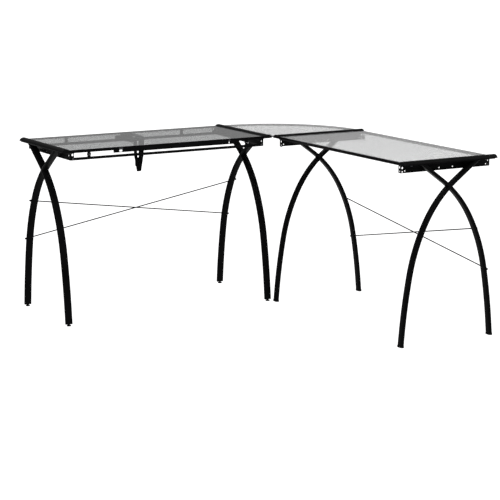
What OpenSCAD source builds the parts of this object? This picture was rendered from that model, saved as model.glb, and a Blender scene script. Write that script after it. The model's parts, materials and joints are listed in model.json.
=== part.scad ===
// L-shaped glass desk: a tilting table on the left, a fixed table on the right and a quarter-round
// glass corner between them. Each table stands on two crossed pairs of bent oval legs.
// Table frame used by most modules: u runs along the table, v runs from the user to the back,
// z is up, and the origin is the first user-side foot on the floor.

/* [Layout] */
// Distance between the two end-leg planes of one table
end_span = 1000; // [900:10:1200]
// Distance from the user-side foot to the back foot
foot_span = 456; // [440:2:480]
// Step between the corner feet of the two tables, each way
corner_step = 28; // [26:1:40]
// Height of the top of the end bars
top_z = 772; // [740:1:800]

/* [Glass] */
// Thickness of the glass
glass_t = 5; // [4:0.5:6]
// Radius of the rounded glass corners of the corner piece
glass_nick = 8; // [4:1:12]

/* [End bars] */
// Reach of an end bar outside its leg plane
bar_out = 18; // [16:1:20]
// Reach of an end bar inside its leg plane
bar_in = 22; // [21:1:22]
// Height of an end bar
bar_h = 15; // [14:0.5:18]
// Reach of an end bar past the feet, front and back
bar_over = 8; // [4:1:8]

/* [Legs] */
// Width of the flat-oval leg tube, across the leg plane
tube_w = 34; // [30:1:36]
// Thickness of the leg tube, in the leg plane
tube_t = 15.5; // [14:0.5:18]
// Wall of the leg tube
tube_wall = 1.5; // [1.2:0.1:2]
// Lean of the leg's lower straight from upright
leg_lean = 5.04; // [4.8:0.02:5.2]
// Length of the lower straight
leg_straight = 45.5; // [40:0.5:50]
// Radius and angle of the three bends, the gentlest first
leg_bends = [[2590, 5.62], [752, 17.4], [496, 25.9]];

/* [Tilting top] */
// Largest tilt of the left top
tilt_max = 35; // [20:1:35]
// Height of the tilt hinge axis
hinge_z = 744; // [743:0.5:746]
// Travel of the pencil ledge
ledge_travel = 12; // [8:1:12]
// Length of the pencil ledge
ledge_len = 605; // [500:5:620]

/* [Cross braces] */
// Diameter of a brace rod
rod_d = 5; // [4:0.5:6]
// Heights of the tilting table's rods: left end then right end, for each rod
tilt_rods = [[500, 350], [325, 518]];
// Heights of the fixed table's rods: far end then near end, for each rod
fixed_rods = [[457, 294], [268, 466]];

/* [Hidden] */

// Heights
bar_z = top_z - bar_h;
glass_top = top_z - 7;
glass_z = glass_top - glass_t;
sheet = 2.5;
plate_z = 721 + bar_z - 757;
flange_z = bar_z - sheet;

// Steel colours
black = [0.03, 0.03, 0.035];
plastic = [0.05, 0.05, 0.055];
clear = [0.75, 0.8, 0.8, 0.35];
grey_glass = [0.5, 0.52, 0.53, 0.4];
zinc = [0.45, 0.45, 0.47];

// Places a child in the desk's own frame
module desk() {
    translate([-(x_min + x_max) / 2, -(y_min + y_max) / 2, 0]) children();
}
// Table frame of the tilting table, then of the fixed table
module tilt_table() {
    desk() children();
}
module fixed_table() {
    desk() translate([end_span + corner_step, -corner_step, 0]) rotate(-90) children();
}
// An end frame: u = 0 is the leg plane and +u points into the table
module first_end() {
    children();
}
module last_end() {
    translate([end_span, 0, 0]) mirror([1, 0, 0]) children();
}
// Mirrors front to back
module back_side() {
    translate([0, foot_span, 0]) mirror([0, 1, 0]) children();
}
module both_sides() {
    children();
    back_side() children();
}
module both_ends() {
    first_end() children();
    last_end() children();
}

// ---- Legs ----
// Centre line as [v, z, lean] stations: the lower straight, each bend in steps, then the top straight
bend_steps = [3, 6, 8];
bend_n = len(leg_bends);
function arc_end(p, r, a) = [
    p[0] + r * (cos(p[2]) - cos(p[2] + a)),
    p[1] + r * (sin(p[2] + a) - sin(p[2])),
    p[2] + a
];
function ahead(p, d) = [p[0] + d * sin(p[2]), p[1] + d * cos(p[2]), p[2]];
leg_foot = [0, 0, leg_lean];
// Start of bend i; i = bend_n is the end of the last bend
function bend_start(i) = i == 0 ? ahead(leg_foot, leg_straight) :
    arc_end(bend_start(i - 1), leg_bends[i - 1][0], leg_bends[i - 1][1]);
// Distance up a straight to a height
function to_height(p, z) = ahead(p, (z - p[1]) / cos(p[2]));
function leg_line(z0, z1) = [
    to_height(leg_foot, z0),
    for (i = [0 : bend_n - 1]) let (p = bend_start(i)) for (k = [0 : bend_steps[i] - 1])
        arc_end(p, leg_bends[i][0], leg_bends[i][1] * k / bend_steps[i]),
    bend_start(bend_n),
    to_height(bend_start(bend_n), z1)
];
// Station at height z, walking the bends in closed form
function leg_at(z, i = bend_n) =
    let (p = bend_start(i))
    z < p[1] && i > 0 ? leg_at(z, i - 1) :
    z < p[1] ? to_height(leg_foot, z) :
    i == bend_n ? to_height(p, z) :
    arc_end(p, leg_bends[i][0], asin(sin(p[2]) + (z - p[1]) / leg_bends[i][0]) - p[2]);
function leg_in(z) = leg_at(z)[0];
function leg_lean_at(z) = leg_at(z)[2];
// Flat-oval outline, point k of n, as [across, in plane]
oval_n = 16;
function oval(w, t, k) =
    let (a = 360 * (k + 0.5) / oval_n, s = (w - t) / 2)
    [(cos(a) > 0 ? s : -s) + t / 2 * cos(a), t / 2 * sin(a)];
// A level cut is used at each end, so the end sections are stretched in plane
function section(p, w, t, level) = [
    for (k = [0 : oval_n - 1]) let (o = oval(w, t, k))
    level ? [o[0], p[0] + o[1] / cos(p[2]), p[1]] : [o[0], p[0] + o[1] * cos(p[2]), p[1] - o[1] * sin(p[2])]
];
module leg_sweep(z0, z1, w, t) {
    line = leg_line(z0, z1);
    n = len(line);
    points = [for (i = [0 : n - 1]) each section(line[i], w, t, i == 0 || i == n - 1)];
    sides = [
        for (i = [0 : n - 2]) for (k = [0 : oval_n - 1]) let (m = (k + 1) % oval_n)
        [i * oval_n + k, (i + 1) * oval_n + k, (i + 1) * oval_n + m, i * oval_n + m]
    ];
    low = [for (k = [0 : oval_n - 1]) k];
    high = [for (k = [oval_n - 1 : -1 : 0]) (n - 1) * oval_n + k];
    polyhedron(points, concat([low], sides, [high]), convexity = 8);
}
// Height at which the two legs of an end cross
function cross_z(lo, hi, i = 0) =
    let (mid = (lo + hi) / 2)
    i > 30 ? mid : leg_in(mid) < foot_span / 2 ? cross_z(mid, hi, i + 1) : cross_z(lo, mid, i + 1);
lap_z = cross_z(500, 740);
lap_gap = 0.15;
module flat_oval(w, t) {
    square([w - t, t], center = true);
    for (s = [-1, 1]) translate([s * (w - t) / 2, 0]) circle(d = t, $fn = 48);
}
// Straight prism that stands for the other leg where the two are lapped, on one side of the leg plane
module lap_prism(side) {
    intersection() {
        translate([0, foot_span / 2, lap_z]) rotate([leg_lean_at(lap_z), 0, 0])
            linear_extrude(90, center = true) flat_oval(tube_w + 2 * lap_gap, tube_t + 2 * lap_gap);
        translate([side > 0 ? 0 : -60, 0, 0]) cube([60, foot_span, top_z]);
    }
}
module leg_tube(z0, z1, side) {
    difference() {
        leg_sweep(z0, z1, tube_w, tube_t);
        difference() {
            leg_sweep(z0 - 20, z1 + 20, tube_w - 2 * tube_wall, tube_t - 2 * tube_wall);
            translate([-30, 0, lap_z - 26]) cube([60, foot_span, 52]);
        }
        lap_prism(side);
    }
}
// Brace rods run through the back legs; the two rods of a table pass each other in depth
rod_shift = 2;
rod_fit = 0.2;
function rod_v(z, i) = foot_span - leg_in(z) + (i == 0 ? rod_shift : -rod_shift);
// Axis of rod i of a table, in the table frame, from leg plane to leg plane
function rod_ends(rods, i) = [
    [0, rod_v(rods[i][0], i), rods[i][0]],
    [end_span, rod_v(rods[i][1], i), rods[i][1]]
];
// Lays a +z child along the rod, starting at its first end
module along_rod(rods, i) {
    e = rod_ends(rods, i);
    d = e[1] - e[0];
    translate(e[0]) rotate([0, acos(d[2] / norm(d)), atan2(d[1], d[0])]) children();
}
function rod_len(rods, i) = norm(rod_ends(rods, i)[1] - rod_ends(rods, i)[0]);
module rod_holes(rods) {
    for (i = [0, 1]) along_rod(rods, i)
        translate([0, 0, -40]) cylinder(d = rod_d + rod_fit, h = rod_len(rods, i) + 80, $fn = 16);
}
tilt_lift = 0.3;
tilt_tube_z = 11.5;
fixed_tube_z = 2.5;
tilt_leg_top = flange_z - tilt_lift;
module front_leg(z0, z1) {
    color(black) leg_tube(z0, z1, 1);
}
module back_leg(z0, z1) {
    color(black) back_side() leg_tube(z0, z1, -1);
}
module drilled(rods) {
    difference() {
        children();
        rod_holes(rods);
    }
}
module tilt_left_front_leg() { tilt_table() first_end() front_leg(tilt_tube_z, tilt_leg_top); }
module tilt_right_front_leg() { tilt_table() last_end() front_leg(tilt_tube_z, tilt_leg_top); }
module tilt_left_back_leg() {
    color(black) tilt_table() drilled(tilt_rods) first_end() back_leg(tilt_tube_z, tilt_leg_top);
}
module tilt_right_back_leg() {
    color(black) tilt_table() drilled(tilt_rods) last_end() back_leg(tilt_tube_z, tilt_leg_top);
}
module fixed_far_front_leg() { fixed_table() first_end() front_leg(fixed_tube_z, flange_z); }
module fixed_near_front_leg() { fixed_table() last_end() front_leg(fixed_tube_z, flange_z); }
module fixed_far_back_leg() {
    color(black) fixed_table() drilled(fixed_rods) first_end() back_leg(fixed_tube_z, flange_z);
}
module fixed_near_back_leg() {
    color(black) fixed_table() drilled(fixed_rods) last_end() back_leg(fixed_tube_z, flange_z);
}

// Origin at the middle of the desk's footprint, on the floor
cap_h = 8.5;
cap_grow = 2.2;
leveller_d = 19;
function nut_reach(rods, i) = (tube_w / 2 + 4.6) * end_span / rod_len(rods, i) + 4;
x_min = -max(nut_reach(tilt_rods, 0), nut_reach(tilt_rods, 1));
x_max = end_span + corner_step + foot_span - leg_in(cap_h / 2) + (tube_t + cap_grow) / 2;
y_min = -corner_step - end_span - max(nut_reach(fixed_rods, 0), nut_reach(fixed_rods, 1));
y_max = foot_span - leg_in(tilt_tube_z) + leveller_d / 2;

// ---- Feet ----
// Laid along the tube at height z, with +z up the tube
module on_tube(z) {
    translate([0, leg_in(z), z]) rotate([-leg_lean, 0, 0]) children();
}
leveller_v = leg_in(tilt_tube_z);
stem_d = 8;
stem_fit = 0.05;
module leg_plug() {
    difference() {
        union() {
            translate([0, leveller_v, tilt_tube_z - 3]) linear_extrude(3) flat_oval(tube_w, tube_t);
            on_tube(tilt_tube_z - 1)
                linear_extrude(16) flat_oval(tube_w - 2 * tube_wall - 0.3, tube_t - 2 * tube_wall - 0.3);
        }
        translate([0, leveller_v, 0]) cylinder(d = stem_d + 2 * stem_fit, h = 60, $fn = 32);
        translate([-30, -30, 0]) cube([60, 60, tilt_tube_z - 3]);
    }
}
module tilt_leg_plugs() {
    color(plastic) tilt_table() both_ends() both_sides() leg_plug();
}
module leveller() {
    color(plastic) translate([0, leveller_v, 0]) {
        cylinder(d = leveller_d, h = 4, $fn = 48);
        translate([0, 0, 4]) cylinder(d = 11, h = 2.5, $fn = 48);
        translate([0, 0, 5]) cylinder(d = stem_d, h = 19, $fn = 32);
    }
}
module leveller_1() { tilt_table() first_end() leveller(); }
module leveller_2() { tilt_table() first_end() back_side() leveller(); }
module leveller_3() { tilt_table() last_end() leveller(); }
module leveller_4() { tilt_table() last_end() back_side() leveller(); }
module leg_cap() {
    difference() {
        translate([0, leg_in(cap_h / 2), 0]) linear_extrude(cap_h) flat_oval(tube_w + 2, tube_t + cap_grow);
        difference() {
            on_tube(fixed_tube_z - 2) linear_extrude(12) flat_oval(tube_w + 0.2, tube_t + 0.2);
            translate([-30, -30, -1]) cube([60, 60, 1 + fixed_tube_z]);
        }
    }
}
module fixed_leg_caps() {
    color(plastic) fixed_table() both_ends() both_sides() leg_cap();
}

// ---- End plates ----
plate_v = 3.4;
web_u = 22.5;
web_in = web_u + sheet;
ear_in = 41;
hole_u = 34;
hole_a = plate_z + 23.5;
hole_b = plate_z + 7;
rail_z = 752.5 + bar_z - 757;
// Holes in a plate's web, as [v, height above the plate's lower edge, diameter]
tilt_web = [[19.6, 20, 9], [18, 9, 6], [194, 10.5, 6]];
fixed_web = [[10.5, 21.5, 9], [10.5, 5.5, 7], [23, 9, 6], [194, 10.5, 6]];
module end_plate(top, web_holes) {
    color(black) difference() {
        union() {
            translate([web_u, plate_v, plate_z]) cube([sheet, foot_span - 2 * plate_v, top - plate_z]);
            translate([-15, plate_v, top - sheet]) cube([15 + web_in, foot_span - 2 * plate_v, sheet]);
            both_sides() translate([web_u, plate_v, plate_z]) cube([ear_in - web_u, sheet, rail_z - 1 - plate_z]);
        }
        both_sides() {
            for (h = [[hole_a, 10], [hole_b, 7]]) translate([hole_u, -1, h[0]])
                rotate([-90, 0, 0]) cylinder(d = h[1], h = 12, $fn = 32);
            for (h = web_holes) translate([web_u - 1, h[0], plate_z + h[1]])
                rotate([0, 90, 0]) cylinder(d = h[2], h = 6, $fn = 32);
        }
        if (top == bar_z) both_sides() translate([2, 40, top - 6]) cylinder(d = 6.2, h = 12, $fn = 32);
    }
}
tilt_plate_top = bar_z - tilt_lift;
module tilt_left_end_plate() { tilt_table() first_end() end_plate(tilt_plate_top, tilt_web); }
module tilt_right_end_plate() { tilt_table() last_end() end_plate(tilt_plate_top, tilt_web); }
module fixed_far_end_plate() { fixed_table() first_end() end_plate(bar_z, fixed_web); }
module fixed_near_end_plate() { fixed_table() last_end() end_plate(bar_z, fixed_web); }

// ---- End bars ----
bar_w = bar_out + bar_in;
bar_u = (bar_in - bar_out) / 2;
bar_side = 3;
bar_r = (pow(bar_w / 2, 2) + pow(bar_h - bar_side, 2)) / (2 * (bar_h - bar_side));
// Half-oval section inset by e, as [across, up] from the middle of the underside
module bar_shape(e) {
    intersection() {
        translate([-bar_w / 2 + e, e]) square([bar_w - 2 * e, bar_h]);
        translate([0, bar_h - bar_r]) circle(r = bar_r - e, $fn = 160);
    }
}
// Runs the section from v0 to v1
module bar_run(v0, v1, e) {
    translate([bar_u, v1, bar_z]) rotate([90, 0, 0]) linear_extrude(v1 - v0) bar_shape(e);
}
module end_bar(screwed) {
    color(black) difference() {
        bar_run(0, foot_span, 0);
        bar_run(-1, foot_span + 1, 1.5);
        if (screwed) both_sides() translate([2, 40, bar_z - 3]) cylinder(d = 6.2, h = 6, $fn = 32);
    }
}
module bar_cap() {
    nose_r = 45;
    intersection() {
        bar_run(-bar_over, 0, 0);
        translate([bar_u, nose_r - bar_over, bar_z]) cylinder(r = nose_r, h = bar_h, $fn = 180);
        translate([bar_u - bar_w / 2, nose_r - 2 - bar_over, bar_z])
            rotate([0, 90, 0]) cylinder(r = nose_r - 2, h = bar_w, $fn = 180);
    }
    bar_run(0, 12, 1.7);
}
module tilt_left_bar() { tilt_table() first_end() end_bar(false); }
module tilt_right_bar() { tilt_table() last_end() end_bar(false); }
module fixed_far_bar() { fixed_table() first_end() end_bar(true); }
module fixed_near_bar() { fixed_table() last_end() end_bar(true); }
module tilt_bar_caps() {
    color(plastic) tilt_table() both_ends() both_sides() bar_cap();
}
module fixed_bar_caps() {
    color(plastic) fixed_table() both_ends() both_sides() bar_cap();
}
module fixed_bar_screws() {
    color(zinc) fixed_table() both_ends() both_sides() translate([2, 40, 0]) {
        translate([0, 0, flange_z - 4]) cylinder(d = 11.5, h = 4, $fn = 6);
        translate([0, 0, flange_z - 1]) cylinder(d = 6, h = 9, $fn = 32);
    }
}

// ---- Rails and glass ----
lip_z = glass_z - 3.2;
lip_t = 2.2;
pad_t = glass_z - lip_z - lip_t;
rail_h = 13;
lip_in = 20;
rail_over = 3;
// Angle rail: an upright face at the table's edge and a lip under the glass
module angle_rail() {
    translate([bar_in, 0, rail_z]) cube([end_span - 2 * bar_in, sheet, rail_h]);
    translate([web_in + 1, 0, lip_z]) cube([end_span - 2 * web_in - 2, lip_in, lip_t]);
}
// Pencil ledge slots, as [u, width]
slots = [[260, 14], [797, 4.4]];
slot_z = rail_z + 6.5;
module tilt_front_rail() {
    color(black) tilt_table() difference() {
        angle_rail();
        for (s = slots) translate([s[0], -1, slot_z]) rotate([-90, 0, 0]) cylinder(d = 4, h = sheet + 1, $fn = 24);
    }
}
module tilt_back_rail() {
    color(black) tilt_table() back_side() angle_rail();
}
module fixed_front_rail() {
    color(black) fixed_table() angle_rail();
}
// Rail wholly under the glass, with its inner side turned down
module under_rail() {
    translate([bar_in, 0, rail_z]) cube([end_span - 2 * bar_in, sheet, lip_z + lip_t - rail_z]);
    translate([web_in + 1, 0, lip_z]) cube([end_span - 2 * web_in - 2, lip_in, lip_t]);
    translate([web_in + 1, lip_in - sheet, rail_z - 2]) cube([end_span - 2 * web_in - 2, sheet, lip_z - rail_z + 3]);
}
module fixed_back_rail() {
    color(black) fixed_table() back_side() under_rail();
}
module table_glass() {
    translate([bar_in + 1, sheet + 0.5, glass_z])
        cube([end_span - 2 * bar_in - 2, foot_span - 2 * sheet - 1, glass_t]);
}
module tilt_glass() {
    color(grey_glass) tilt_table() table_glass();
}
module fixed_glass() {
    color(clear) fixed_table() table_glass();
}
module glass_pads() {
    both_sides() for (u = [70, end_span / 2, end_span - 70]) translate([u, 12, glass_z - pad_t])
        cylinder(d = 12, h = pad_t, $fn = 32);
}
module tilt_glass_pads() {
    color(plastic) tilt_table() glass_pads();
}
module fixed_glass_pads() {
    color(plastic) fixed_table() glass_pads();
}

// ---- Corner ----
corner_gap = 1.5;
corner_r = foot_span + corner_step - bar_out + 4;
// Frame of the corner piece: its apex is where the two bars' outer sides would meet
module corner_frame() {
    desk() translate([end_span + bar_out, bar_out - corner_step, 0]) children();
}
module corner_glass() {
    r = glass_nick;
    reach = corner_r - corner_gap;
    color(clear) corner_frame() translate([corner_gap, corner_gap, glass_z]) linear_extrude(glass_t) {
        difference() {
            intersection() {
                square(reach);
                translate([-corner_gap, -corner_gap]) circle(r = corner_r, $fn = 240);
            }
            square(r);
            translate([reach - r, -1]) square([r + 2, r + 1]);
            translate([-1, reach - r]) square([r + 1, r + 2]);
        }
        translate([r, r]) circle(r = r, $fn = 48);
        translate([reach - r - 0.2, r]) circle(r = r, $fn = 48);
        translate([r, reach - r - 0.2]) circle(r = r, $fn = 48);
    }
}
// Curved strip under the round edge, from the fixed bar to just short of the tilting one
strip_r = corner_r - 4.5;
strip_h = 8.5;
module corner_rail() {
    color(black) corner_frame() translate([0, 0, glass_z - strip_h]) linear_extrude(strip_h) difference() {
        intersection() {
            translate([0.5, 0]) square(corner_r);
            circle(r = strip_r, $fn = 240);
        }
        circle(r = strip_r - sheet, $fn = 240);
    }
}
tab_w = 30;
tab_vs = [31, 399];
tab_out = 46;
pad_u = 34;
module tab(top) {
    for (v = tab_vs) translate([-tab_out, v, top - sheet]) cube([tab_out - 15, tab_w, sheet]);
}
module tab_pad(top) {
    for (v = tab_vs) translate([-pad_u, v + tab_w / 2, top]) cylinder(d = 20, h = glass_z - top, $fn = 48);
}
module corner_tabs() {
    color(black) {
        tilt_table() last_end() tab(tilt_plate_top);
        fixed_table() first_end() tab(bar_z);
    }
}
module corner_pads() {
    color(plastic) {
        tilt_table() last_end() tab_pad(tilt_plate_top);
        fixed_table() first_end() tab_pad(bar_z);
    }
}

// ---- Fixed rails of the tilting table ----
base_h = 11;
base_top = plate_z + base_h;
base_d = 8;
screw_d = 5;
module base_rail() {
    difference() {
        union() {
            translate([web_in + 0.5, plate_v - sheet, plate_z]) cube([end_span - 2 * web_in - 1, sheet, base_h]);
            for (z = [plate_z, base_top - 2]) translate([ear_in + 1, plate_v - sheet, z])
                cube([end_span - 2 * ear_in - 2, base_d, 2]);
        }
        for (u = [hole_u, end_span - hole_u]) translate([u, -2, hole_b])
            rotate([-90, 0, 0]) cylinder(d = screw_d + 0.4, h = 8, $fn = 32);
    }
}
module base_front_rail() {
    color(black) tilt_table() base_rail();
}
module base_back_rail() {
    color(black) tilt_table() back_side() base_rail();
}
module base_rail_screws() {
    color(zinc) tilt_table() both_sides() both_ends() translate([hole_u, plate_v - sheet, hole_b])
        rotate([-90, 0, 0]) {
            translate([0, 0, -2.4]) cylinder(d = 9, h = 2.4, $fn = 32);
            translate([0, 0, -1]) cylinder(d = screw_d, h = 13, $fn = 32);
            translate([0, 0, 2 * sheet]) cylinder(d = 9, h = 4, $fn = 6);
        }
}

// ---- Tilt hinges ----
hinge_v = 4;
hinge_us = [111, end_span - 111];
leaf_w = 15;
barrel_d = 8;
pin_d = 4;
pin_fit = 0.05;
knuckle = 4.6;
knuckle_gap = 0.3;
// Along-u cylinder about the tilt axis
module barrel(u0, w, d) {
    translate([u0, hinge_v, hinge_z]) rotate([0, 90, 0]) cylinder(d = d, h = w, $fn = 48);
}
module hinge_lower_leaves() {
    color(black) tilt_table() for (u = hinge_us) translate([u - leaf_w / 2, 0, 0]) difference() {
        union() {
            translate([0, hinge_v - 1.25, base_top]) cube([leaf_w, sheet, hinge_z - base_top]);
            barrel(0, knuckle, barrel_d);
            barrel(leaf_w - knuckle, knuckle, barrel_d);
        }
        translate([knuckle, 0, hinge_z - barrel_d / 2 - 0.5]) cube([leaf_w - 2 * knuckle, 12, 12]);
        barrel(-1, leaf_w + 2, pin_d);
    }
}
module hinge_upper_leaves() {
    mid = leaf_w - 2 * knuckle - 2 * knuckle_gap;
    color(black) tilt_table() for (u = hinge_us) translate([u - leaf_w / 2, 0, 0]) difference() {
        union() {
            translate([0, sheet, hinge_z + barrel_d / 2 + 0.5])
                cube([leaf_w, sheet, lip_z - hinge_z - barrel_d / 2 - 0.5]);
            translate([knuckle + knuckle_gap, sheet, hinge_z]) cube([mid, sheet, lip_z - hinge_z]);
            barrel(knuckle + knuckle_gap, mid, barrel_d);
        }
        barrel(-1, leaf_w + 2, pin_d + 2 * pin_fit);
    }
}
module hinge_pins() {
    color(zinc) tilt_table() for (u = hinge_us) translate([u - leaf_w / 2, 0, 0]) {
        barrel(-1, leaf_w + 2, pin_d);
        barrel(-2, 2, 6.5);
        barrel(leaf_w, 2, 6.5);
    }
}

// ---- Rests under the back of the tilting top ----
rest_us = [205, end_span - 205];
rest_w = 15;
rest_top = base_top + 20;
rest_d = 12;
module rest_posts() {
    color(black) tilt_table() back_side() for (u = rest_us) translate([u - rest_w / 2, 0, 0]) {
        translate([0, 3, base_top]) cube([rest_w, sheet, rest_top - base_top]);
        translate([0, 3, rest_top - sheet]) cube([rest_w, 13, sheet]);
    }
}
module rest_pads() {
    color(plastic) tilt_table() back_side() for (u = rest_us) translate([u, 10, rest_top])
        cylinder(d = 11, h = lip_z - 0.2 - rest_top, $fn = 32);
}

// ---- Pencil ledge ----
ledge_u = 225;
ledge_t = 2;
ledge_z = plate_z + 20.5;
ledge_top = glass_top;
module pencil_ledge() {
    color(black) tilt_table() difference() {
        translate([ledge_u, -ledge_t - 0.2, ledge_z]) cube([ledge_len, ledge_t, ledge_top - ledge_z]);
        for (s = slots) translate([s[0] - s[1] / 2, -4, slot_z - 2.5 - ledge_travel])
            cube([s[1], 6, ledge_travel + 5]);
    }
}
// Guide shoes: each fills the top of its slot at rest and its plate laps the slot's sides
module ledge_screws() {
    color(zinc) tilt_table() for (s = slots) translate([s[0], 0, slot_z]) {
        w = s[1] - 0.6;
        translate([-w / 2, -ledge_t - 0.3, -1.5]) cube([w, ledge_t + 0.3, 3.5]);
        translate([-w / 2 - 2.5, -ledge_t - 1.8, -2]) cube([w + 5, 1.5, 5.5]);
        translate([0, -1, 0]) rotate([-90, 0, 0]) cylinder(d = 4, h = sheet + 0.5, $fn = 24);
    }
}

// ---- Tilt mechanism, about the middle of the table ----
mech_v = 320;
guide_z = hinge_z - 9;
strut_z = hinge_z + 6;
arm_w = 53;
arm_t = 2;
pivot_d = 6;
arm_back = foot_span - plate_v;
// Frame of the mechanism: x across, y back from the pivots, z up
module mech() {
    tilt_table() translate([end_span / 2, 0, 0]) children();
}
module across(z, x0, x1, d, fn = 40) {
    translate([x0, mech_v, z]) rotate([0, 90, 0]) cylinder(d = d, h = x1 - x0, $fn = fn);
}
// Channel open below, with ears around a pivot at its front
module arm(z0, z1, v1, pivot) {
    for (x = [-arm_w / 2, arm_w / 2 - arm_t]) difference() {
        union() {
            translate([x, mech_v + 12, z0]) cube([arm_t, v1 - mech_v - 12, z1 - z0]);
            translate([x, mech_v, pivot - 5.5]) cube([arm_t, 12.5, 11]);
            across(pivot, x, x + arm_t, 11);
        }
        across(pivot, x - 1, x + arm_t + 1, pivot_d + 2 * pin_fit);
    }
    translate([-arm_w / 2, mech_v + 12, z1 - arm_t]) cube([arm_w, v1 - mech_v - 12, arm_t]);
}
module guide_arm() {
    color(black) mech() {
        arm(guide_z - 7, guide_z + 6, arm_back + sheet - base_d - 0.2, guide_z);
        translate([-arm_w / 2, arm_back - 14, guide_z + 6 - arm_t]) cube([arm_w / 2 + 15, 14, arm_t]);
        translate([-50, arm_back - sheet, base_top]) cube([65, sheet, 16]);
        translate([-50, arm_back - 14, base_top]) cube([65, 14, sheet]);
    }
}
module stay_arm() {
    color(black) mech() arm(strut_z - 4, lip_z, foot_span - 7, strut_z);
}
// Telescoping parts hang from the lower pivot
house_x = 11.4;
house_y = 5.8;
house_t = 1.5;
slide_x = 9.5;
slide_y = 3.9;
slide_t = 1.2;
strut_x = 7.5;
strut_t = 3;
house_low = guide_z - 110;
house_top = guide_z + 7;
slot_low = guide_z - 72;
// Flat tube between two heights with a see-through slot in its faces
module sleeve(x, y, t, z0, z1, slot) {
    difference() {
        translate([-x, mech_v - y, z0]) cube([2 * x, 2 * y, z1 - z0]);
        translate([-x + t, mech_v - y + t, z0 - 1]) cube([2 * (x - t), 2 * (y - t), z1 - z0 + 2]);
        translate([-slot, mech_v - 10, slot_low]) cube([2 * slot, 20, 200]);
    }
}
module swivel_bracket() {
    color(black) mech() {
        difference() {
            sleeve(house_x, house_y, house_t, house_low, house_top, 8);
            across(guide_z, -house_x - 1, house_x + 1, pivot_d);
        }
    }
}
module bracket_pins() {
    color(zinc) mech() for (m = [0, 1]) mirror([m, 0, 0]) {
        across(guide_z, house_x - house_t, arm_w / 2 + 0.5, pivot_d);
        across(guide_z, arm_w / 2 + 0.5, arm_w / 2 + 2, pivot_d + 3);
    }
}
module strut_slide() {
    color(black) mech() sleeve(slide_x, slide_y, slide_t, house_low + 3, house_top - 5, 7);
}
module ratchet_strut() {
    color(black) mech() difference() {
        union() {
            translate([-strut_x, mech_v - strut_t / 2, house_low + 3])
                cube([2 * strut_x, strut_t, strut_z - house_low - 3]);
            across(strut_z, -12, 12, 10);
        }
        across(strut_z, -13, 13, pivot_d + 2 * pin_fit);
        translate([-5, mech_v - 10, slot_low]) cube([10, 20, guide_z + 7 - slot_low]);
        for (k = [0 : 2]) translate([-5, mech_v - 10, slot_low - 10 - 9 * k]) cube([10, 20, 5]);
    }
}
module strut_pin() {
    color(zinc) mech() {
        across(strut_z, -arm_w / 2 - 0.5, arm_w / 2 + 0.5, pivot_d);
        for (m = [0, 1]) mirror([m, 0, 0]) across(strut_z, arm_w / 2 + 0.5, arm_w / 2 + 2, pivot_d + 3);
    }
}
lever_t = 2.5;
lever_v = mech_v - 12;
lever_low = guide_z - 134;
module lever_shape() {
    difference() {
        union() {
            polygon([[-28, house_top], [-23.5, guide_z - 61], [-11, lever_low + 4], [11, lever_low + 4],
                [23.5, guide_z - 61], [28, house_top]]);
            for (s = [-1, 1]) translate([s * 6.5, lever_low + 5]) circle(r = 5, $fn = 32);
            translate([-6.5, lever_low]) square([13, 8]);
        }
        polygon([[-9, guide_z + 50], [-9, guide_z - 61], [-5, guide_z - 77], [5, guide_z - 77],
            [9, guide_z - 61], [9, guide_z + 50]]);
    }
}
module release_lever() {
    color(black) mech() {
        translate([0, lever_v + lever_t, 0]) rotate([90, 0, 0]) linear_extrude(lever_t) lever_shape();
        for (m = [0, 1]) mirror([m, 0, 0]) difference() {
            union() {
                translate([15, lever_v + 1, guide_z - 4.5]) cube([2, 11, 9]);
                across(guide_z, 15, 17, 9);
            }
            across(guide_z, 14, 18, pivot_d + 2 * pin_fit);
        }
    }
}

// ---- Brace rods ----
module rod(rods, i) {
    color(black) along_rod(rods, i) translate([0, 0, -tube_w / 2 - 3])
        cylinder(d = rod_d, h = rod_len(rods, i) + tube_w + 6, $fn = 32);
}
module tilt_brace_a() { tilt_table() rod(tilt_rods, 0); }
module tilt_brace_b() { tilt_table() rod(tilt_rods, 1); }
module fixed_brace_a() { fixed_table() rod(fixed_rods, 0); }
module fixed_brace_b() { fixed_table() rod(fixed_rods, 1); }
module nut_pair(rods, i) {
    n = rod_len(rods, i);
    along_rod(rods, i) for (e = [[-tube_w / 2 - 1.1, 1], [n + tube_w / 2 + 1.1, 0]])
        translate([0, 0, e[0]]) mirror([0, 0, e[1]]) difference() {
            union() {
                cylinder(d = 9, h = 4.5, $fn = 6);
                intersection() {
                    translate([0, 0, 3.5]) sphere(d = 8, $fn = 32);
                    cylinder(d = 9, h = 9, $fn = 32);
                }
            }
            translate([0, 0, -1]) cylinder(d = rod_d, h = 5, $fn = 32);
        }
}
module brace_nuts() {
    color(black) {
        tilt_table() for (i = [0, 1]) nut_pair(tilt_rods, i);
        fixed_table() for (i = [0, 1]) nut_pair(fixed_rods, i);
    }
}

tilt_left_front_leg();
tilt_left_back_leg();
tilt_right_front_leg();
tilt_right_back_leg();
fixed_far_front_leg();
fixed_far_back_leg();
fixed_near_front_leg();
fixed_near_back_leg();
tilt_leg_plugs();
leveller_1();
leveller_2();
leveller_3();
leveller_4();
fixed_leg_caps();
tilt_left_end_plate();
tilt_right_end_plate();
fixed_far_end_plate();
fixed_near_end_plate();
tilt_left_bar();
tilt_right_bar();
fixed_far_bar();
fixed_near_bar();
tilt_bar_caps();
fixed_bar_caps();
fixed_bar_screws();
tilt_front_rail();
tilt_back_rail();
fixed_front_rail();
fixed_back_rail();
tilt_glass();
fixed_glass();
corner_glass();
tilt_glass_pads();
fixed_glass_pads();
corner_tabs();
corner_pads();
corner_rail();
base_front_rail();
base_back_rail();
base_rail_screws();
hinge_lower_leaves();
hinge_upper_leaves();
hinge_pins();
rest_posts();
rest_pads();
pencil_ledge();
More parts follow.
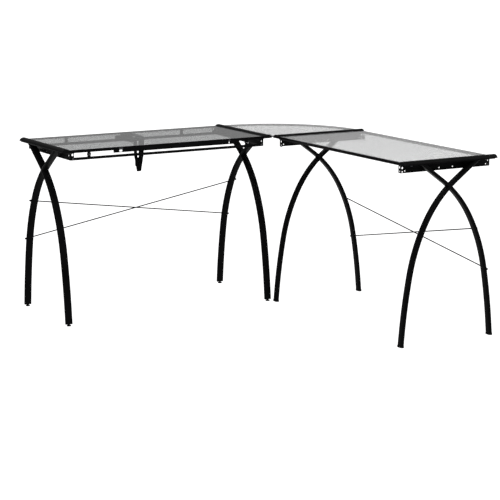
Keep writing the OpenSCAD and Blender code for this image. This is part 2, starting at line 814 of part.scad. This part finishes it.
ledge_screws();
guide_arm();
stay_arm();
swivel_bracket();
release_lever();
strut_slide();
ratchet_strut();
bracket_pins();
strut_pin();
tilt_brace_a();
tilt_brace_b();
fixed_brace_a();
fixed_brace_b();
brace_nuts();
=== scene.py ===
"""The L-shaped glass desk's looks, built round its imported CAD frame. Row frame, metres."""
import json
import math

import bmesh
import bpy
from mathutils import Matrix, Vector

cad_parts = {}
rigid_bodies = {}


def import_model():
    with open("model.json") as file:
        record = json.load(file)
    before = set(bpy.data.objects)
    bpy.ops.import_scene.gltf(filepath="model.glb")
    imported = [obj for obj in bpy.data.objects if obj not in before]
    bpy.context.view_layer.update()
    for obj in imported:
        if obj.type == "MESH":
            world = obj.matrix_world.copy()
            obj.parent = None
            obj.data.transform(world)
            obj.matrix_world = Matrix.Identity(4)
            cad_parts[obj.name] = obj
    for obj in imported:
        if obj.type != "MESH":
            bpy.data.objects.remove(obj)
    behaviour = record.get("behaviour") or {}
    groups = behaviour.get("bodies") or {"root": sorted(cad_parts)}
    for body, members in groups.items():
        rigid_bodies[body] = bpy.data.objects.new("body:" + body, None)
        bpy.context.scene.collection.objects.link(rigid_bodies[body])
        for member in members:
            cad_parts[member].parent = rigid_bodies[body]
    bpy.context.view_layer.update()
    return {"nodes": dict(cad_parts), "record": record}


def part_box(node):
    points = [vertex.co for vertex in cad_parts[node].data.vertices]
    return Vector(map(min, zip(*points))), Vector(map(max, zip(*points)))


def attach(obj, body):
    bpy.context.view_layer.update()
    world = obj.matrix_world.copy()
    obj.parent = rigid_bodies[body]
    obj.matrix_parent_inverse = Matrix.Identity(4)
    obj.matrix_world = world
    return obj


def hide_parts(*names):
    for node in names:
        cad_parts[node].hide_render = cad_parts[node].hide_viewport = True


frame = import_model()
BODY = {n: b for b, ns in frame["record"]["behaviour"]["bodies"].items() for n in ns}
MM = 0.001

# ---- Sizes shared with the CAD, in millimetres ----
SPAN = 1000.0
FEET = 456.0
STEP = 28.0
TOP = 772.0
TUBE_W, TUBE_T = 34.0, 15.5
BAR_OUT, BAR_IN, BAR_H, BAR_OVER = 18.0, 22.0, 15.0, 8.0
LEAN = 5.04
STRAIGHT = 45.5
BENDS = ((2590.0, 5.62), (752.0, 17.4), (496.0, 25.9))

# The tilting table's left leg plane meets the floor here in the row frame
left_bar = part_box("tilt_left_bar")
ORIGIN = Vector((left_bar[0][0] + BAR_OUT * MM, left_bar[0][1], 0))
# Table frame (u along, v back, z up) to row frame, for each table
TILT = Matrix.Translation(ORIGIN) @ Matrix.Scale(MM, 4)
FIXED = TILT @ Matrix.Translation((SPAN + STEP, -STEP, 0)) @ Matrix.Rotation(math.radians(-90), 4, "Z")
FIRST = Matrix.Identity(4)
LAST = Matrix.Translation((SPAN, 0, 0)) @ Matrix.Scale(-1, 4, (1, 0, 0))
BACK = Matrix.Translation((0, FEET, 0)) @ Matrix.Scale(-1, 4, (0, 1, 0))


# ---- Materials ----
def new_material(name, colour, rough, metallic=0.0):
    """A principled material and its node tree."""
    m = bpy.data.materials.new(name)
    m.use_nodes = True
    shader = m.node_tree.nodes["Principled BSDF"]
    shader.inputs["Base Color"].default_value = (*colour, 1)
    shader.inputs["Roughness"].default_value = rough
    shader.inputs["Metallic"].default_value = metallic
    return m, m.node_tree.nodes, m.node_tree.links, shader


def noise(nodes, links, scale, detail=3.0, rough=0.5):
    """Object-space noise, so it stays on the piece."""
    where = nodes.new("ShaderNodeTexCoord")
    n = nodes.new("ShaderNodeTexNoise")
    n.inputs["Scale"].default_value = scale
    n.inputs["Detail"].default_value = detail
    n.inputs["Roughness"].default_value = rough
    links.new(where.outputs["Object"], n.inputs["Vector"])
    return n


def ramp(nodes, links, source, stops):
    """Maps a grey value to the stops, each a place and a grey or a colour."""
    r = nodes.new("ShaderNodeValToRGB")
    while len(r.color_ramp.elements) < len(stops):
        r.color_ramp.elements.new(0.5)
    for e, (at, colour) in zip(r.color_ramp.elements, stops):
        e.position = at
        e.color = (*colour, 1) if isinstance(colour, tuple) else (colour, colour, colour, 1)
    links.new(source, r.inputs["Fac"])
    return r


def bump(nodes, links, shader, source, strength, distance):
    """Raises the surface by a grey value; distance is in metres."""
    b = nodes.new("ShaderNodeBump")
    b.inputs["Strength"].default_value = strength
    b.inputs["Distance"].default_value = distance
    links.new(source, b.inputs["Height"])
    links.new(b.outputs["Normal"], shader.inputs["Normal"])


def powder_coat():
    """Semi-gloss black powder coat: a fine orange peel, a little uneven in gloss."""
    m, nodes, links, shader = new_material("powder_black", (0.002, 0.002, 0.002), 0.35)
    shader.inputs["Specular IOR Level"].default_value = 0.12
    shader.inputs["IOR"].default_value = 1.15
    peel = noise(nodes, links, 900, 2)
    patch = noise(nodes, links, 14, 4)
    tones = [(0.3, (0.0015, 0.0015, 0.0016)), (0.75, (0.003, 0.003, 0.0032))]
    tone = ramp(nodes, links, patch.outputs["Fac"], tones)
    gloss = ramp(nodes, links, patch.outputs["Fac"], [(0.25, 0.3), (0.8, 0.4)])
    links.new(tone.outputs["Color"], shader.inputs["Base Color"])
    links.new(gloss.outputs["Color"], shader.inputs["Roughness"])
    bump(nodes, links, shader, peel.outputs["Fac"], 0.12, 0.0002)
    return m


def moulded_plastic():
    """Black moulded plastic with a fine spark-eroded grain."""
    m, nodes, links, shader = new_material("plastic_black", (0.003, 0.003, 0.003), 0.5)
    shader.inputs["Specular IOR Level"].default_value = 0.12
    shader.inputs["IOR"].default_value = 1.15
    grain = noise(nodes, links, 1600, 3, 0.6)
    patch = noise(nodes, links, 30, 3)
    tones = [(0.3, (0.002, 0.002, 0.0022)), (0.8, (0.005, 0.005, 0.0052))]
    tone = ramp(nodes, links, patch.outputs["Fac"], tones)
    gloss = ramp(nodes, links, grain.outputs["Fac"], [(0.3, 0.45), (0.7, 0.6)])
    links.new(tone.outputs["Color"], shader.inputs["Base Color"])
    links.new(gloss.outputs["Color"], shader.inputs["Roughness"])
    bump(nodes, links, shader, grain.outputs["Fac"], 0.2, 0.0001)
    return m


def rubber():
    """Matt black rubber with a little dust."""
    m, nodes, links, shader = new_material("rubber_black", (0.012, 0.012, 0.012), 0.8)
    shader.inputs["Specular IOR Level"].default_value = 0.25
    dust = noise(nodes, links, 260, 4, 0.6)
    tones = [(0.35, (0.010, 0.010, 0.010)), (0.8, (0.022, 0.022, 0.021))]
    tone = ramp(nodes, links, dust.outputs["Fac"], tones)
    links.new(tone.outputs["Color"], shader.inputs["Base Color"])
    bump(nodes, links, shader, dust.outputs["Fac"], 0.25, 0.0001)
    return m


def oxide_steel():
    """Black-oxide screws and pins, with the tool's fine turning marks."""
    m, nodes, links, shader = new_material("steel_oxide", (0.06, 0.06, 0.065), 0.36, 0.9)
    marks = noise(nodes, links, 700, 5, 0.7)
    tones = [(0.3, (0.035, 0.035, 0.038)), (0.75, (0.09, 0.09, 0.095))]
    tone = ramp(nodes, links, marks.outputs["Fac"], tones)
    gloss = ramp(nodes, links, marks.outputs["Fac"], [(0.3, 0.28), (0.7, 0.46)])
    links.new(tone.outputs["Color"], shader.inputs["Base Color"])
    links.new(gloss.outputs["Color"], shader.inputs["Roughness"])
    bump(nodes, links, shader, marks.outputs["Fac"], 0.08, 0.0001)
    return m


def glass(name, colour, low, high, clarity):
    """Tempered sheet glass: a body tint, faint roller wave and a polish that varies slightly."""
    m, nodes, links, shader = new_material(name, colour, 0.02)
    shader.inputs["Transmission Weight"].default_value = clarity
    shader.inputs["IOR"].default_value = 1.5
    wave = noise(nodes, links, 3.0, 2)
    tone = ramp(nodes, links, wave.outputs["Fac"], [(0.3, low), (0.75, high)])
    polish = ramp(nodes, links, wave.outputs["Fac"], [(0.3, 0.0), (0.8, 0.03)])
    links.new(tone.outputs["Color"], shader.inputs["Base Color"])
    links.new(polish.outputs["Color"], shader.inputs["Roughness"])
    return m


def edge_glass(name, low, high):
    """The ground edge of a sheet: the long way through the glass makes it a dark grey band."""
    m, nodes, links, shader = new_material(name, low, 0.35)
    shader.inputs["Specular IOR Level"].default_value = 0.2
    grind = noise(nodes, links, 500, 4, 0.6)
    tone = ramp(nodes, links, grind.outputs["Fac"], [(0.3, low), (0.7, high)])
    links.new(tone.outputs["Color"], shader.inputs["Base Color"])
    bump(nodes, links, shader, grind.outputs["Fac"], 0.15, 0.0001)
    return m


METAL = powder_coat()
PLASTIC = moulded_plastic()
RUBBER = rubber()
STEEL = oxide_steel()
SMOKED = glass("glass_smoked", (0.47, 0.48, 0.48), (0.46, 0.47, 0.47), (0.48, 0.49, 0.49), 0.97)
CLEAR = glass("glass_clear", (0.99, 0.99, 0.99), (0.98, 0.985, 0.985), (0.99, 0.995, 0.995), 0.88)
EDGE = edge_glass("glass_edge", (0.12, 0.125, 0.125), (0.18, 0.185, 0.185))
FINISH = {
    "black_metal": METAL,
    "black_plastic": PLASTIC,
    "black_rubber": RUBBER,
    "dark_steel": STEEL,
    "tinted_glass": SMOKED,
    "clear_glass": CLEAR,
}
SLOT = {s["node"]: s["material_slot"] for s in frame["record"]["subparts"]}


# ---- Mesh helpers ----
def piece(name, bm, node, material, angle=25):
    """Turns a bmesh in the row frame into the piece that replaces a CAD node.

    Edges that turn less than the angle, in degrees, are shaded smooth.
    """
    bmesh.ops.recalc_face_normals(bm, faces=bm.faces)
    for e in bm.edges:
        e.smooth = len(e.link_faces) == 2 and e.calc_face_angle() < math.radians(angle)
    for f in bm.faces:
        f.smooth = True
    mesh = bpy.data.meshes.new(name)
    bm.to_mesh(mesh)
    bm.free()
    obj = bpy.data.objects.new(name, mesh)
    bpy.context.scene.collection.objects.link(obj)
    for m in material if isinstance(material, (list, tuple)) else [material]:
        mesh.materials.append(m)
    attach(obj, BODY[node])
    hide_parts(node)
    return obj


def loft(bm, rings):
    """Closed skin over rings of equal length, with flat ends."""
    loops = [[bm.verts.new(p) for p in ring] for ring in rings]
    n = len(loops[0])
    for a, b in zip(loops, loops[1:]):
        for k in range(n):
            bm.faces.new((a[k], a[(k + 1) % n], b[(k + 1) % n], b[k]))
    bm.faces.new(loops[0])
    bm.faces.new(loops[-1])


def soften(bm, width, segments=2, angle=35):
    """Rounds every edge sharper than the angle."""
    sharp = [e for e in bm.edges if len(e.link_faces) == 2 and e.calc_face_angle() > math.radians(angle)]
    bmesh.ops.bevel(bm, geom=sharp, offset=width, segments=segments, profile=0.5,
                    affect="EDGES", clamp_overlap=True)


def refined(node, width):
    """The CAD node's own shape, with its flats cleaned and its edges broken."""
    bm = bmesh.new()
    bm.from_mesh(frame["nodes"][node].data)
    bmesh.ops.remove_doubles(bm, verts=bm.verts, dist=1e-6)
    bmesh.ops.dissolve_limit(bm, angle_limit=math.radians(0.5), verts=bm.verts, edges=bm.edges)
    soften(bm, width)
    return piece("v_" + node, bm, node, FINISH[SLOT[node]])


# ---- Legs: flat-oval tube swept along its bends, then half-lapped where two cross ----
def arc_to(p, r, a):
    """The end of an arc from a point (in from the foot, height, lean in radians)."""
    q = p[2] + math.radians(a)
    return (p[0] + r * (math.cos(p[2]) - math.cos(q)), p[1] + r * (math.sin(q) - math.sin(p[2])), q)


def ahead(p, d):
    """The end of a straight of length d from such a point."""
    return (p[0] + d * math.sin(p[2]), p[1] + d * math.cos(p[2]), p[2])


def leg_line(z0, z1):
    """Stations (in from the foot, height, lean) up the leg's centre line."""
    foot = (0.0, 0.0, math.radians(LEAN))
    line = [ahead(foot, z0 / math.cos(foot[2]))]
    p = ahead(foot, STRAIGHT)
    for (r, a), steps in zip(BENDS, (10, 16, 22)):
        line += [arc_to(p, r, a * i / steps) for i in range(steps)]
        p = arc_to(p, r, a)
    line.append(p)
    line.append(ahead(p, (z1 - p[1]) / math.cos(p[2])))
    return line


def oval(w, t, n=40):
    """Flat-oval outline, as (across, in plane)."""
    s = (w - t) / 2
    out = []
    for k in range(n):
        a = 2 * math.pi * (k + 0.5) / n
        out.append((math.copysign(s, math.cos(a)) + t / 2 * math.cos(a), t / 2 * math.sin(a)))
    return out


def leg_rings(z0, z1, place):
    """The tube's outline at each station; the two end rings are level cuts."""
    line = leg_line(z0, z1)
    outline = oval(TUBE_W, TUBE_T)
    rings = []
    for i, (q, z, lean) in enumerate(line):
        if i in (0, len(line) - 1):
            ring = [Vector((x, q + y / math.cos(lean), z)) for x, y in outline]
        else:
            ring = [Vector((x, q + y * math.cos(lean), z - y * math.sin(lean))) for x, y in outline]
        rings.append([place @ p for p in ring])
    return rings


def lap_point():
    """Where the leg's centre line crosses the middle of its end frame."""
    line = leg_line(10, 754)
    for a, b in zip(line, line[1:]):
        if a[0] <= FEET / 2 <= b[0]:
            f = (FEET / 2 - a[0]) / (b[0] - a[0])
            return a[1] + f * (b[1] - a[1]), b[2]


def make_leg(node, place, z0, z1, side):
    """side +1 cuts the lap from the +u half, -1 from the -u half."""
    bm = bmesh.new()
    loft(bm, leg_rings(z0, z1, place))
    obj = piece("v_" + node, bm, node, METAL)
    z, lean = lap_point()
    tilt = Matrix.Translation((0, FEET / 2, z)) @ Matrix.Rotation(lean, 4, "X")
    half = [(x, y) for x, y in oval(TUBE_W + 0.3, TUBE_T + 0.3) if x * side > 0]
    half.sort(key=lambda p: math.atan2(p[1], p[0] * side))
    half = [(0.0, -(TUBE_T + 0.3) / 2)] + half + [(0.0, (TUBE_T + 0.3) / 2)]
    cut = bmesh.new()
    loft(cut, [[place @ tilt @ Vector((x, y, h)) for x, y in half] for h in (-45, 45)])
    bmesh.ops.recalc_face_normals(cut, faces=cut.faces)
    mesh = bpy.data.meshes.new("cutter")
    cut.to_mesh(mesh)
    cut.free()
    cutter = bpy.data.objects.new("cutter", mesh)
    bpy.context.scene.collection.objects.link(cutter)
    mod = obj.modifiers.new("lap", "BOOLEAN")
    mod.operation = "DIFFERENCE"
    mod.solver = "EXACT"
    mod.object = cutter
    bpy.context.view_layer.update()
    done = bpy.data.meshes.new_from_object(obj.evaluated_get(bpy.context.evaluated_depsgraph_get()))
    obj.modifiers.clear()
    old, obj.data = obj.data, done
    done.name = obj.name
    bpy.data.meshes.remove(old)
    bpy.data.objects.remove(cutter)
    bpy.data.meshes.remove(mesh)


for table, at, low, top, ends in (
    ("tilt", TILT, 11.5, TOP - BAR_H - 2.8, ("left", "right")),
    ("fixed", FIXED, 2.5, TOP - BAR_H - 2.5, ("far", "near")),
):
    for end, flip in zip(ends, (FIRST, LAST)):
        make_leg(f"{table}_{end}_front_leg", at @ flip, low, top, 1)
        make_leg(f"{table}_{end}_back_leg", at @ flip @ BACK, low, top, -1)


# ---- End bars: half-oval section with rounded lower corners, and domed plastic caps ----
BAR_SIDE = 3.0
BAR_FILLET = 1.2


def bar_section(n=22):
    """Outline of the bar, as (across from its middle, up from its underside)."""
    half = (BAR_OUT + BAR_IN) / 2
    r = (half ** 2 + (BAR_H - BAR_SIDE) ** 2) / (2 * (BAR_H - BAR_SIDE))
    cz = BAR_H - r
    reach = math.asin(min(1.0, half / r))
    pts = []
    for k in range(n + 1):
        a = -reach + 2 * reach * k / n
        pts.append((r * math.sin(a), cz + r * math.cos(a)))
    for k in range(5):
        a = math.radians(90 * k / 4)
        pts.append((half - BAR_FILLET * (1 - math.cos(a)), BAR_FILLET * (1 - math.sin(a))))
    for k in range(5):
        a = math.radians(90 - 90 * k / 4)
        pts.append((-half + BAR_FILLET * (1 - math.cos(a)), BAR_FILLET * (1 - math.sin(a))))
    return pts


BAR_U = (BAR_IN - BAR_OUT) / 2
BAR_Z = TOP - BAR_H


def make_bar(node, place):
    """The bar as one solid, with a short ring at each end."""
    bm = bmesh.new()
    stations = [0, 0.4] + [FEET * k / 24 for k in range(1, 24)] + [FEET - 0.4, FEET]
    loft(bm, [[place @ Vector((BAR_U + x, v, BAR_Z + z)) for x, z in bar_section()] for v in stations])
    piece("v_" + node, bm, node, METAL, 40)


# A cap's dome: steps, share of the overhang that it takes, how far it narrows, and about what height
CAP_STEPS = 8
CAP_DEPTH = 0.86
CAP_PINCH = 0.07
CAP_MIDDLE = BAR_H * 0.42


def make_caps(node, at):
    """One mesh of four domed caps, each with a rim that stands on the bar's end."""
    bm = bmesh.new()
    for flip in (FIRST, LAST):
        for turn in (Matrix.Identity(4), BACK):
            place = at @ flip @ turn
            rings = []
            for k in range(CAP_STEPS + 1):
                a = math.radians(90 * k / CAP_STEPS)
                v = -BAR_OVER + BAR_OVER * (1 - math.cos(a)) * CAP_DEPTH
                tall = 1 - CAP_PINCH * (1 - math.sin(a)) ** 1.2
                wide = 1 - (1 - tall) * 0.9
                dome = [(x * wide, CAP_MIDDLE + (z - CAP_MIDDLE) * tall) for x, z in bar_section()]
                rings.append([place @ Vector((BAR_U + x, v, BAR_Z + z)) for x, z in dome])
            rings.append([place @ Vector((BAR_U + x, 0, BAR_Z + z)) for x, z in bar_section()])
            loft(bm, rings)
    piece("v_" + node, bm, node, PLASTIC, 50)


make_bar("tilt_left_bar", TILT @ FIRST)
make_bar("tilt_right_bar", TILT @ LAST)
make_bar("fixed_far_bar", FIXED @ FIRST)
make_bar("fixed_near_bar", FIXED @ LAST)
make_caps("tilt_bar_caps", TILT)
make_caps("fixed_bar_caps", FIXED)


# ---- Glass: sheets with ground, arrised edges ----
def glass_sheet(node, material):
    """The CAD sheet with its rim broken by a small arris, and the edge material all round it."""
    bm = bmesh.new()
    bm.from_mesh(frame["nodes"][node].data)
    bmesh.ops.remove_doubles(bm, verts=bm.verts, dist=1e-6)
    bmesh.ops.dissolve_limit(bm, angle_limit=math.radians(0.4), verts=bm.verts, edges=bm.edges)
    rim = [e for e in bm.edges if len(e.link_faces) == 2 and e.calc_face_angle() > math.radians(60)]
    bmesh.ops.bevel(bm, geom=rim, offset=0.7 * MM, segments=2, profile=0.5,
                    affect="EDGES", clamp_overlap=True)
    obj = piece("v_" + node, bm, node, [material, EDGE], 15)
    for p in obj.data.polygons:
        p.material_index = 0 if abs(p.normal.z) > 0.9 else 1
    return obj


glass_sheet("tilt_glass", SMOKED)
glass_sheet("fixed_glass", CLEAR)
glass_sheet("corner_glass", CLEAR)

# ---- Every other node keeps its CAD shape, with broken edges ----
BREAK = {
    "black_metal": 0.4 * MM,
    "black_plastic": 0.5 * MM,
    "black_rubber": 0.4 * MM,
    "dark_steel": 0.3 * MM,
}
ROD_BREAK = 0.6 * MM
made = {o.name for o in bpy.data.objects}
for node in sorted(frame["nodes"]):
    if "v_" + node not in made:
        refined(node, ROD_BREAK if "_brace_" in node else BREAK[SLOT[node]])

# ---- Camera at the photograph's angle ----
cam = bpy.data.cameras.new("camera")
cam.sensor_width = 36
cam.lens = 125.46
cam.clip_end = 200
camera = bpy.data.objects.new("camera", cam)
camera.location = TILT @ Vector((-2997.8, -6756.2, 1764.9))
camera.rotation_euler = (math.radians(90 - 11.0025), 0, math.radians(-30.0175))
bpy.context.scene.collection.objects.link(camera)
bpy.context.scene.camera = camera


# ---- Floor and light ----
def stage_floor():
    """A white floor lit from within, as on a light table, so nothing casts a shadow on it."""
    bm = bmesh.new()
    bmesh.ops.create_circle(bm, cap_ends=True, segments=96, radius=90)
    mesh = bpy.data.meshes.new("floor")
    bm.to_mesh(mesh)
    bm.free()
    floor = bpy.data.objects.new("floor", mesh)
    bpy.context.scene.collection.objects.link(floor)
    m, nodes, links, shader = new_material("floor_white", (0.04, 0.04, 0.04), 1.0)
    shader.inputs["Specular IOR Level"].default_value = 0.0
    shader.inputs["Emission Color"].default_value = (1, 1, 1, 1)
    shader.inputs["Emission Strength"].default_value = 1.25
    mesh.materials.append(m)


def area(name, location, target, size, power):
    """A round soft light aimed at a point."""
    light = bpy.data.lights.new(name, "AREA")
    light.shape = "DISK"
    light.size = size
    light.energy = power
    obj = bpy.data.objects.new(name, light)
    obj.location = location
    obj.rotation_euler = (Vector(target) - Vector(location)).to_track_quat("-Z", "Y").to_euler()
    bpy.context.scene.collection.objects.link(obj)


def studio_world():
    """A soft white dome, dimmer towards the horizon, which is what the glass tops reflect."""
    world = bpy.data.worlds.new("studio")
    world.use_nodes = True
    nodes, links = world.node_tree.nodes, world.node_tree.links
    back = nodes["Background"]
    where = nodes.new("ShaderNodeTexCoord")
    split = nodes.new("ShaderNodeSeparateXYZ")
    links.new(where.outputs["Generated"], split.inputs["Vector"])
    r = ramp(nodes, links, split.outputs["Z"], [(0.0, 0.31), (0.36, 0.31), (0.55, 1.0)])
    links.new(r.outputs["Color"], back.inputs["Color"])
    back.inputs["Strength"].default_value = 1.0
    bpy.context.scene.world = world


stage_floor()
area("key", (-2.5, -3.5, 4.5), (0, 0, 0.6), 3.0, 160)
area("fill", (3.5, -2.0, 3.5), (0, 0, 0.6), 3.0, 60)
studio_world()

bpy.context.scene.view_settings.view_transform = "Standard"
